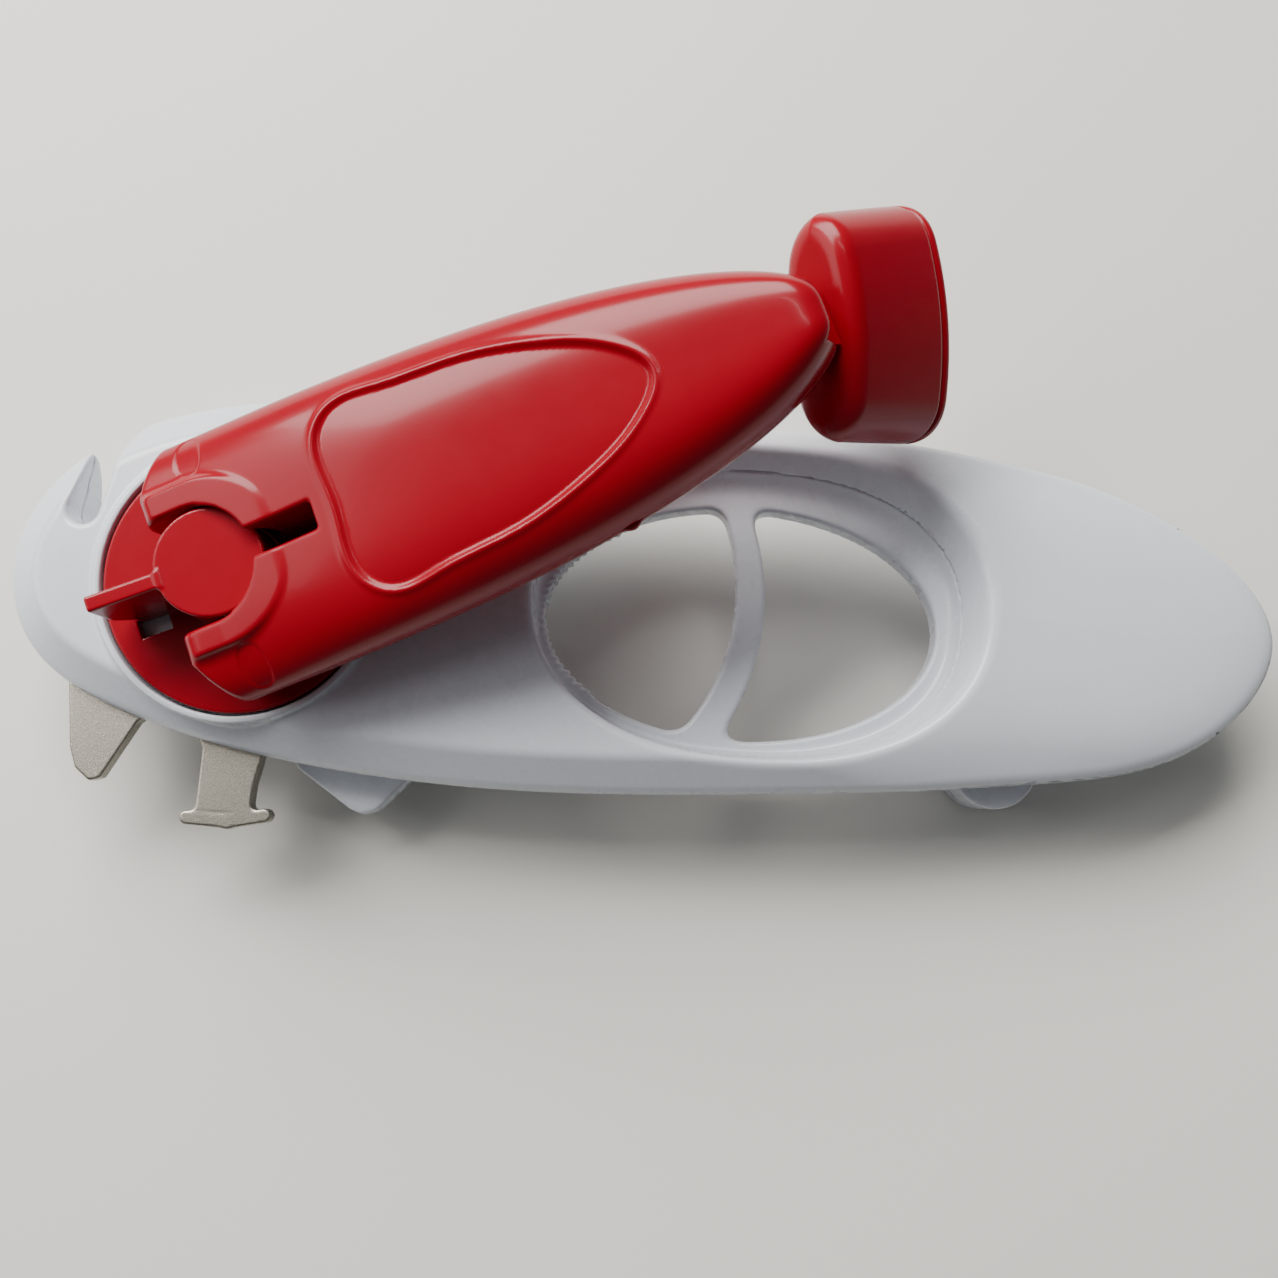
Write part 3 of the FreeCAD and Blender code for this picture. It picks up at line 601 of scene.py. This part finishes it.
def arm_shell(u, v, w):
    f = arm_form(u, v, w, True)
    edge = PANEL_FLAT(u, v)
    f = f + PANEL_DEPTH * ramp(0.7, -0.7, edge) - PANEL_BEAD * np.exp(-((edge - 0.9) / 0.6) ** 2)
    mark = oval(u, np.abs(v), (2.3, 18.5), (2.4, 3.6), 2.4)
    f = f + PIN_MARK_DEPTH * ramp(0.3, -0.3, mark)
    f = smax(f, -arm_room(u, v, w), 0.9)
    return smax(f, 0.04 - w, 0.3)


def arm_cover(u, v, w):
    f = arm_form(u, v, w, False)
    f = smax(f, -arm_room(u, v, w), 0.7)
    nib = np.sqrt((u - NIB_AT[0]) ** 2 + (v - NIB_AT[1]) ** 2 + (w - NIB_AT[2]) ** 2) - NIB_R
    f = smin(f, nib, 1.0)
    for screw_u in ARM_SCREWS_U:
        r = np.hypot(u - screw_u, v)
        f = smax(f, -np.maximum(r - ARM_SCREW_R, w + 5.0), 0.3)
    return smax(f, w + 0.04, 0.3)


# Knob

def knob_plan(x, y, z):
    t = np.clip((z - KNOB_NEAR) / KNOB_LENGTH, 0, 1.1)
    half_long = KNOB_HALF_LONG + KNOB_FLARE[0] * t
    half_thick = KNOB_HALF_THICK + KNOB_FLARE[1] * t
    side = np.abs(y) - (half_thick + 0.2 - 3.2 * (x / half_long) ** 2)
    return smax(side, np.abs(x) - half_long, 7.0)


def knob_shell(x, y, z):
    top = KNOB_NEAR + KNOB_LENGTH
    f = smax(knob_plan(x, y, z), KNOB_NEAR - z, 3.4)
    return smax(f, z - (top - 0.04), 0.7)


def knob_cap(x, y, z):
    top = KNOB_NEAR + KNOB_LENGTH
    f = smax(knob_plan(x, y, z) + 0.02, top + 0.04 - z, 0.7)
    return smax(f, z - (top + KNOB_CAP_THICK), 0.9)


# Materials

def new_material(name):
    material = bpy.data.materials.new(name)
    material.use_nodes = True
    nodes = material.node_tree.nodes
    nodes.clear()
    out = nodes.new("ShaderNodeOutputMaterial")
    shader = nodes.new("ShaderNodeBsdfPrincipled")
    material.node_tree.links.new(shader.outputs["BSDF"], out.inputs["Surface"])
    return material, shader


def noise(material, scale, detail=3.0):
    tree = material.node_tree
    coords = tree.nodes.new("ShaderNodeTexCoord")
    node = tree.nodes.new("ShaderNodeTexNoise")
    node.inputs["Scale"].default_value = scale
    node.inputs["Detail"].default_value = detail
    tree.links.new(coords.outputs["Object"], node.inputs["Vector"])
    return node.outputs["Fac"]


def spread(material, value, low, high, start=0.3, end=0.7):
    """Maps a noise value to a range."""
    node = material.node_tree.nodes.new("ShaderNodeMapRange")
    node.inputs["From Min"].default_value = start
    node.inputs["From Max"].default_value = end
    node.inputs["To Min"].default_value = low
    node.inputs["To Max"].default_value = high
    material.node_tree.links.new(value, node.inputs["Value"])
    return node.outputs["Result"]


def blend_colours(material, value, first, second):
    node = material.node_tree.nodes.new("ShaderNodeValToRGB")
    node.color_ramp.elements[0].position = 0.35
    node.color_ramp.elements[1].position = 0.65
    node.color_ramp.elements[0].color = (*first, 1)
    node.color_ramp.elements[1].color = (*second, 1)
    material.node_tree.links.new(value, node.inputs["Fac"])
    return node.outputs["Color"]


def add_bump(material, shader, layers):
    """Chained bumps; each layer is a height socket, a depth in metres and a strength."""
    tree = material.node_tree
    normal = None
    for height, depth, strength in layers:
        bump = tree.nodes.new("ShaderNodeBump")
        bump.inputs["Distance"].default_value = depth
        bump.inputs["Strength"].default_value = strength
        tree.links.new(height, bump.inputs["Height"])
        if normal is not None:
            tree.links.new(normal, bump.inputs["Normal"])
        normal = bump.outputs["Normal"]
    tree.links.new(normal, shader.inputs["Normal"])


def plastic(name, slot, light, dark, rough, grain, coat, gloss=0.5):
    material, shader = new_material(name)
    tree = material.node_tree
    broad = noise(material, 45.0, 2.0)
    tree.links.new(blend_colours(material, broad, dark, light), shader.inputs["Base Color"])
    fine = noise(material, 260.0, 2.0)
    tree.links.new(spread(material, fine, rough[0], rough[1]), shader.inputs["Roughness"])
    add_bump(material, shader, [(noise(material, 120.0, 2.0), grain, 0.3)])
    shader.inputs["Coat Weight"].default_value = coat
    shader.inputs["Coat Roughness"].default_value = 0.06
    shader.inputs["Specular IOR Level"].default_value = gloss
    return slot, material


def metal(name, slot, light, dark, rough, grain_scale, grain, stretch=(1, 1, 1)):
    material, shader = new_material(name)
    tree = material.node_tree
    coords = tree.nodes.new("ShaderNodeTexCoord")
    mapping = tree.nodes.new("ShaderNodeMapping")
    mapping.inputs["Scale"].default_value = stretch
    grit = tree.nodes.new("ShaderNodeTexNoise")
    grit.inputs["Scale"].default_value = grain_scale
    grit.inputs["Detail"].default_value = 4.0
    tree.links.new(coords.outputs["Object"], mapping.inputs["Vector"])
    tree.links.new(mapping.outputs["Vector"], grit.inputs["Vector"])
    value = grit.outputs["Fac"]
    tree.links.new(blend_colours(material, value, dark, light), shader.inputs["Base Color"])
    tree.links.new(spread(material, value, rough[1], rough[0]), shader.inputs["Roughness"])
    add_bump(material, shader, [(value, grain, 0.8)])
    shader.inputs["Metallic"].default_value = 1.0
    return slot, material


def make_materials():
    return {
        "white": plastic("white_shell_plastic", "white_shell", (0.63, 0.655, 0.715), (0.61, 0.635, 0.695),
                         (0.26, 0.29), 0.00002, 0.2),
        "red": plastic("red_crank_plastic", "red_crank", (0.27, 0.0004, 0.009), (0.255, 0.0004, 0.0085),
                       (0.22, 0.24), 0.00002, 0.08, 0.24),
        "blasted": metal("blasted_nickel", "blasted_steel", (0.56, 0.52, 0.45), (0.24, 0.22, 0.185),
                         (0.2, 0.55), 5200.0, 0.00007),
        "zinc_plate": metal("brushed_zinc", "mechanism_steel", (0.66, 0.66, 0.67), (0.50, 0.50, 0.52),
                            (0.28, 0.45), 500.0, 0.00002, (1, 12, 1)),
        "ground": metal("ground_steel", "wheel_steel", (0.62, 0.62, 0.64), (0.46, 0.46, 0.48),
                        (0.20, 0.36), 700.0, 0.00001, (1, 1, 10)),
        "screw": metal("bright_zinc", "screw_zinc", (0.74, 0.75, 0.78), (0.60, 0.61, 0.64),
                       (0.16, 0.30), 800.0, 0.00001),
        "acetal": plastic("acetal", "bush_acetal", (0.84, 0.82, 0.76), (0.80, 0.78, 0.72),
                          (0.45, 0.55), 0.00002, 0.0),
        "rubber": plastic("drag_ring_rubber", "drag_rubber", (0.035, 0.035, 0.035), (0.02, 0.02, 0.02),
                          (0.7, 0.85), 0.00002, 0.0),
    }


MATERIALS = make_materials()
CARRIED = {
    "zinc_plate": ["mechanism_plate", "plate_rivets", "carrier_pivot", "cutter_carrier", "cutter_washer"],
    "ground": ["drive_spindle", "feed_wheel", "cutting_wheel",
               "arm_hinge_pin", "knob_hinge_pin", "knob_axle"],
    "screw": ["body_screws", "spindle_nut", "arm_screws", "cutter_screw", "knob_retainer"],
    "acetal": ["spindle_bush", "thrust_washer"],
    "rubber": ["friction_roller"],
    "red": ["knob_swivel"],
}


def dress_carried_nodes():
    for key, nodes in CARRIED.items():
        for node in nodes:
            obj = frame["nodes"][node]
            obj.data.materials.clear()
            obj.data.materials.append(MATERIALS[key][1])


# Pieces

def build_pieces():
    white = MATERIALS["white"]
    red = MATERIALS["red"]
    skin("top_shell_skin", "top_shell", "housing", "body", top_shell, (-46, -38, -9), (189, 38, 2), white)
    skin("bottom_shell_skin", "bottom_shell", "housing", "body", bottom_shell,
         (-46, -43, -28.5), (189, 38, -6), white, COARSE)
    skin("crown_cap_plate_skin", "crown_cap_plate", "housing", "body", crown_cap_plate,
         (-36, -46, -13), (11, -5, -7), MATERIALS["blasted"], FINE)
    skin("crank_hub_skin", "crank_hub", "crank_hub", "hub", crank_hub,
         (-25.5, -25.5, -4), (25.5, 25.5, 17), red, FINEST)
    skin("arm_shell_skin", "arm_shell", "crank_arm", "arm", arm_shell,
         (-12, -26, -1), (112, 26, 12), red, FINE)
    skin("arm_cover_skin", "arm_cover", "crank_arm", "arm", arm_cover,
         (-12, -26, -11), (112, 26, 1), red, FINE)
    skin("knob_shell_skin", "knob_shell", "knob", "knob", knob_shell,
         (-22, -12, 5), (22, 12, 31), red, FINE)
    skin("knob_cap_skin", "knob_cap", "knob", "knob", knob_cap,
         (-22, -12, 27), (22, 12, 33), red, FINEST)


# Stage, lights and camera

def build_stage():
    size = 1.6
    mesh = bpy.data.meshes.new("table")
    corners = [(-size, -size, 0), (size, -size, 0), (size, size, 0), (-size, size, 0)]
    mesh.from_pydata(corners, [], [(0, 1, 2, 3)])
    table = bpy.data.objects.new("table", mesh)
    bpy.context.scene.collection.objects.link(table)
    material, shader = new_material("table_top")
    shader.inputs["Base Color"].default_value = (0.72, 0.71, 0.67, 1)
    shader.inputs["Roughness"].default_value = 0.55
    mesh.materials.append(material)


def area_light(name, place, target, size, power, colour):
    light = bpy.data.lights.new(name, "AREA")
    light.shape = "RECTANGLE"
    light.size = size[0]
    light.size_y = size[1]
    light.energy = power
    light.color = colour
    obj = bpy.data.objects.new(name, light)
    obj.location = place
    obj.rotation_euler = (Vector(target) - Vector(place)).to_track_quat("-Z", "Y").to_euler()
    bpy.context.scene.collection.objects.link(obj)


def build_lights():
    world = bpy.data.worlds.new("room")
    bpy.context.scene.world = world
    world.use_nodes = True
    world.node_tree.nodes["Background"].inputs["Color"].default_value = (0.93, 0.96, 1.0, 1)
    world.node_tree.nodes["Background"].inputs["Strength"].default_value = 0.12
    area_light("ceiling", (-0.45, 0.8, 0.8), (-0.02, 0.04, 0), (1.2, 0.7), 40.0, (1.0, 0.99, 0.95))
    area_light("side", (-0.7, 0.1, 0.5), (0, 0, 0), (0.5, 0.5), 2.4, (1.0, 0.98, 0.95))
    area_light("strip", (0.06, 0.30, 0.75), (0, 0, 0), (0.34, 0.015), 0.35, (1, 1, 1))


CAMERA_HEIGHT = 222.0
CAMERA_X = 72.65
CAMERA_Y = -34.6
CAMERA_YAW = math.radians(3.4)
CAMERA_TILT = math.radians(7.2)


def build_camera():
    data = bpy.data.cameras.new("camera")
    data.sensor_width = 36.0
    data.lens = 36.08
    data.clip_start = 0.01
    camera = bpy.data.objects.new("camera", data)
    bpy.context.scene.collection.objects.link(camera)
    spindle = Vector(JOINTS["crank_spin"]["pos_m"])
    right = Vector((math.cos(CAMERA_YAW), math.sin(CAMERA_YAW), 0))
    level = Vector((-math.sin(CAMERA_YAW), math.cos(CAMERA_YAW), 0))
    up = level * math.cos(CAMERA_TILT) + Vector((0, 0, math.sin(CAMERA_TILT)))
    back = right.cross(up)
    matrix = Matrix((right, up, back)).transposed().to_4x4()
    matrix.translation = spindle + Vector((CAMERA_X, CAMERA_Y, CAMERA_HEIGHT)) * MM
    camera.matrix_world = matrix
    bpy.context.scene.camera = camera


dress_carried_nodes()
build_pieces()
build_stage()
build_lights()
build_camera()
